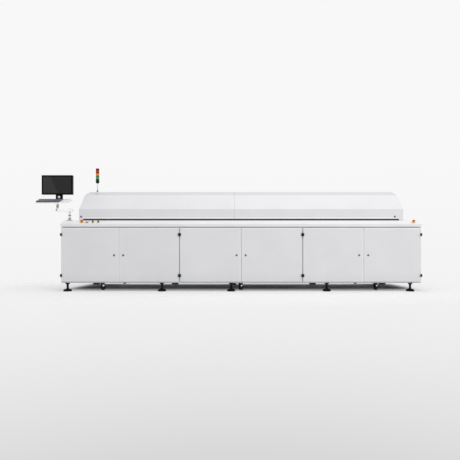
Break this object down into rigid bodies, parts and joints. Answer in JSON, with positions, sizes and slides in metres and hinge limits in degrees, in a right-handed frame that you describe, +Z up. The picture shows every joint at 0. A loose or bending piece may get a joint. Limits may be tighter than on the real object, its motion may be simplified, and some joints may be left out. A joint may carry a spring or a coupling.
{
  "type": "reflow oven",
  "caption": "In-line conveyor reflow oven: long white cabinet on feet and casters, hinged doors, sloped lifting hood over a heated tunnel, tower light and operator station.",
  "frame": {"origin": "on the floor, under the middle of the cabinet's footprint", "axes": "+X along the machine to the right of someone at the front doors, +Y to the back, +Z up"},
  "size_m": [5.697, 1.3778, 1.8997],
  "materials": {
    "frame_paint": "satin",
    "door_paint": "satin",
    "panel_paint": "satin",
    "deck_paint": "satin",
    "hood_paint": "satin",
    "chamber_steel": "brushed",
    "motor_black": "matt",
    "rail_aluminium": "anodised",
    "device_grey": "matt",
    "hinge_black": "matt",
    "lock_grey": "satin",
    "hinge_zinc": "zinc plated",
    "foot_black": "matt",
    "caster_steel": "black",
    "caster_wheel": "matt",
    "legend_yellow": "satin",
    "collar_grey": "satin",
    "estop_red": "gloss",
    "knob_black": "satin",
    "button_white": "gloss",
    "pole_steel": "satin",
    "tower_black": "satin",
    "lens_red": "gloss",
    "lens_amber": "gloss",
    "lens_green": "gloss",
    "station_paint": "satin",
    "keyboard_dark": "matt",
    "monitor_black": "gloss",
    "screen_glass": "semi gloss"
  },
  "bodies": {
    "cabinet": {"base_frame": "frame_paint", "levelling_feet": "foot_black", "door_hinges": "hinge_black", "end_panels": "panel_paint", "rear_panels": "panel_paint", "deck_panels": "deck_paint", "lower_chamber": "chamber_steel", "lower_blowers": "motor_black", "front_rail": "rail_aluminium", "electrical_panel": "device_grey", "legend_plates": "legend_yellow", "switch_collars": "collar_grey", "monitor_post": "station_paint", "hood_hinges": "hinge_zinc", "caster_mounts": "caster_steel"},
    "hood": {"hood_left": "hood_paint", "hood_right": "hood_paint", "upper_chamber": "chamber_steel", "upper_blowers": "motor_black", "hood_hinge_leaves": "hinge_zinc", "tower_pole": "pole_steel", "tower_housing": "tower_black", "lens_red": "lens_red", "lens_amber": "lens_amber", "lens_green": "lens_green"},
    "tray": {"keyboard_tray": "station_paint", "keyboard": "keyboard_dark", "monitor_neck": "monitor_black"},
    "monitor": {"monitor_housing": "monitor_black", "monitor_screen": "screen_glass"},
    "caster_fork_1": {"caster_fork_1": "caster_steel"},
    "caster_fork_2": {"caster_fork_2": "caster_steel"},
    "caster_fork_3": {"caster_fork_3": "caster_steel"},
    "caster_wheel_1": {"caster_wheel_1": "caster_wheel"},
    "caster_wheel_2": {"caster_wheel_2": "caster_wheel"},
    "caster_wheel_3": {"caster_wheel_3": "caster_wheel"},
    "caster_wheel_4": {"caster_wheel_4": "caster_wheel"},
    "caster_wheel_5": {"caster_wheel_5": "caster_wheel"},
    "caster_wheel_6": {"caster_wheel_6": "caster_wheel"},
    "door_1": {"door_1": "door_paint"},
    "door_2": {"door_2": "door_paint"},
    "door_3": {"door_3": "door_paint"},
    "door_4": {"door_4": "door_paint"},
    "door_5": {"door_5": "door_paint"},
    "door_6": {"door_6": "door_paint"},
    "door_lock_1": {"door_lock_1": "lock_grey"},
    "door_lock_2": {"door_lock_2": "lock_grey"},
    "door_lock_3": {"door_lock_3": "lock_grey"},
    "door_lock_4": {"door_lock_4": "lock_grey"},
    "door_lock_5": {"door_lock_5": "lock_grey"},
    "door_lock_6": {"door_lock_6": "lock_grey"},
    "estop_left": {"estop_left": "estop_red"},
    "estop_right": {"estop_right": "estop_red"},
    "hood_lock_left": {"hood_lock_left": "lock_grey"},
    "hood_lock_right": {"hood_lock_right": "lock_grey"},
    "push_button": {"push_button": "button_white"},
    "rear_rail": {"rear_rail": "rail_aluminium"},
    "selector_1": {"selector_1": "knob_black"},
    "selector_2": {"selector_2": "knob_black"},
    "swing_arm": {"swing_arm": "station_paint"}
  },
  "joints": [
    {"name": "door_1_swing", "type": "hinge", "parent": "cabinet", "child": "door_1", "pos_m": [-2.636, -0.685, 0], "axis": [0, 0, -1], "range_deg": [0, 90]},
    {"name": "door_lock_1_turn", "type": "hinge", "parent": "door_1", "child": "door_lock_1", "pos_m": [-1.867, -0.6765, 0.532], "axis": [0, 1, 0], "range_deg": [0, 90]},
    {"name": "door_2_swing", "type": "hinge", "parent": "cabinet", "child": "door_2", "pos_m": [-0.92, -0.685, 0], "axis": [0, 0, 1], "range_deg": [0, 90]},
    {"name": "door_lock_2_turn", "type": "hinge", "parent": "door_2", "child": "door_lock_2", "pos_m": [-1.733, -0.6765, 0.532], "axis": [0, -1, 0], "range_deg": [0, 90]},
    {"name": "door_3_swing", "type": "hinge", "parent": "cabinet", "child": "door_3", "pos_m": [-0.89, -0.685, 0], "axis": [0, 0, -1], "range_deg": [0, 90]},
    {"name": "door_lock_3_turn", "type": "hinge", "parent": "door_3", "child": "door_lock_3", "pos_m": [-0.067, -0.6765, 0.532], "axis": [0, 1, 0], "range_deg": [0, 90]},
    {"name": "door_4_swing", "type": "hinge", "parent": "cabinet", "child": "door_4", "pos_m": [0.89, -0.685, 0], "axis": [0, 0, 1], "range_deg": [0, 90]},
    {"name": "door_lock_4_turn", "type": "hinge", "parent": "door_4", "child": "door_lock_4", "pos_m": [0.067, -0.6765, 0.532], "axis": [0, -1, 0], "range_deg": [0, 90]},
    {"name": "door_5_swing", "type": "hinge", "parent": "cabinet", "child": "door_5", "pos_m": [0.92, -0.685, 0], "axis": [0, 0, -1], "range_deg": [0, 90]},
    {"name": "door_lock_5_turn", "type": "hinge", "parent": "door_5", "child": "door_lock_5", "pos_m": [1.733, -0.6765, 0.532], "axis": [0, 1, 0], "range_deg": [0, 90]},
    {"name": "door_6_swing", "type": "hinge", "parent": "cabinet", "child": "door_6", "pos_m": [2.636, -0.685, 0], "axis": [0, 0, 1], "range_deg": [0, 90]},
    {"name": "door_lock_6_turn", "type": "hinge", "parent": "door_6", "child": "door_lock_6", "pos_m": [1.867, -0.6765, 0.532], "axis": [0, -1, 0], "range_deg": [0, 90]},
    {"name": "hood_lift", "type": "hinge", "parent": "cabinet", "child": "hood", "pos_m": [0, 0.5805, 1.092], "axis": [-1, 0, 0], "range_deg": [0, 45]},
    {"name": "hood_lock_left_turn", "type": "hinge", "parent": "hood", "child": "hood_lock_left", "pos_m": [-2.4, -0.5465, 1.108], "axis": [0, 1, 0], "range_deg": [0, 90]},
    {"name": "hood_lock_right_turn", "type": "hinge", "parent": "hood", "child": "hood_lock_right", "pos_m": [2.305, -0.5465, 1.108], "axis": [0, -1, 0], "range_deg": [0, 90]},
    {"name": "caster_1_swivel", "type": "hinge", "parent": "cabinet", "child": "caster_fork_1", "pos_m": [-2.081, -0.59, 0], "axis": [0, 0, 1], "continuous": true},
    {"name": "caster_wheel_1_roll", "type": "hinge", "parent": "caster_fork_1", "child": "caster_wheel_1", "pos_m": [-2.0597, -0.57509, 0.05], "axis": [-0.5736, 0.8192, 0], "continuous": true},
    {"name": "caster_wheel_4_roll", "type": "hinge", "parent": "cabinet", "child": "caster_wheel_4", "pos_m": [-2.055, 0.59, 0.05], "axis": [0, 1, 0], "continuous": true},
    {"name": "caster_2_swivel", "type": "hinge", "parent": "cabinet", "child": "caster_fork_2", "pos_m": [-0.024, -0.59, 0], "axis": [0, 0, 1], "continuous": true},
    {"name": "caster_wheel_2_roll", "type": "hinge", "parent": "caster_fork_2", "child": "caster_wheel_2", "pos_m": [-0.0027, -0.57509, 0.05], "axis": [-0.5736, 0.8192, 0], "continuous": true},
    {"name": "caster_wheel_5_roll", "type": "hinge", "parent": "cabinet", "child": "caster_wheel_5", "pos_m": [0.002, 0.59, 0.05], "axis": [0, 1, 0], "continuous": true},
    {"name": "caster_3_swivel", "type": "hinge", "parent": "cabinet", "child": "caster_fork_3", "pos_m": [1.988, -0.59, 0], "axis": [0, 0, 1], "continuous": true},
    {"name": "caster_wheel_3_roll", "type": "hinge", "parent": "caster_fork_3", "child": "caster_wheel_3", "pos_m": [2.0093, -0.57509, 0.05], "axis": [-0.5736, 0.8192, 0], "continuous": true},
    {"name": "caster_wheel_6_roll", "type": "hinge", "parent": "cabinet", "child": "caster_wheel_6", "pos_m": [2.014, 0.59, 0.05], "axis": [0, 1, 0], "continuous": true},
    {"name": "arm_swing", "type": "hinge", "parent": "cabinet", "child": "swing_arm", "pos_m": [-2.578, -0.5265, 0], "axis": [0, 0, 1], "range_deg": [-60, 30]},
    {"name": "tray_swing", "type": "hinge", "parent": "swing_arm", "child": "tray", "pos_m": [-2.762, -0.5265, 0], "axis": [0, 0, 1], "range_deg": [-30, 30]},
    {"name": "monitor_tilt", "type": "hinge", "parent": "tray", "child": "monitor", "pos_m": [-2.762, -0.4785, 1.5865], "axis": [-1, 0, 0], "range_deg": [-3, 15]},
    {"name": "estop_left_press", "type": "slide", "parent": "cabinet", "child": "estop_left", "axis": [0, 0.4664, -0.8846], "range_m": [0, 0.006], "stiffness_N_per_m": 1200},
    {"name": "estop_right_press", "type": "slide", "parent": "cabinet", "child": "estop_right", "axis": [0, 0.4664, -0.8846], "range_m": [0, 0.006], "stiffness_N_per_m": 1200},
    {"name": "push_button_press", "type": "slide", "parent": "cabinet", "child": "push_button", "axis": [0, 0.4664, -0.8846], "range_m": [0, 0.004], "stiffness_N_per_m": 800},
    {"name": "selector_1_turn", "type": "hinge", "parent": "cabinet", "child": "selector_1", "pos_m": [-2.192, -0.6303, 1.01636], "axis": [0, -0.4664, 0.8846], "range_deg": [-45, 45]},
    {"name": "selector_2_turn", "type": "hinge", "parent": "cabinet", "child": "selector_2", "pos_m": [-2.112, -0.6303, 1.01636], "axis": [0, -0.4664, 0.8846], "range_deg": [-45, 45]},
    {"name": "rear_rail_width", "type": "slide", "parent": "cabinet", "child": "rear_rail", "axis": [0, 1, 0], "range_m": [-0.3, 0.05]}
  ]
}
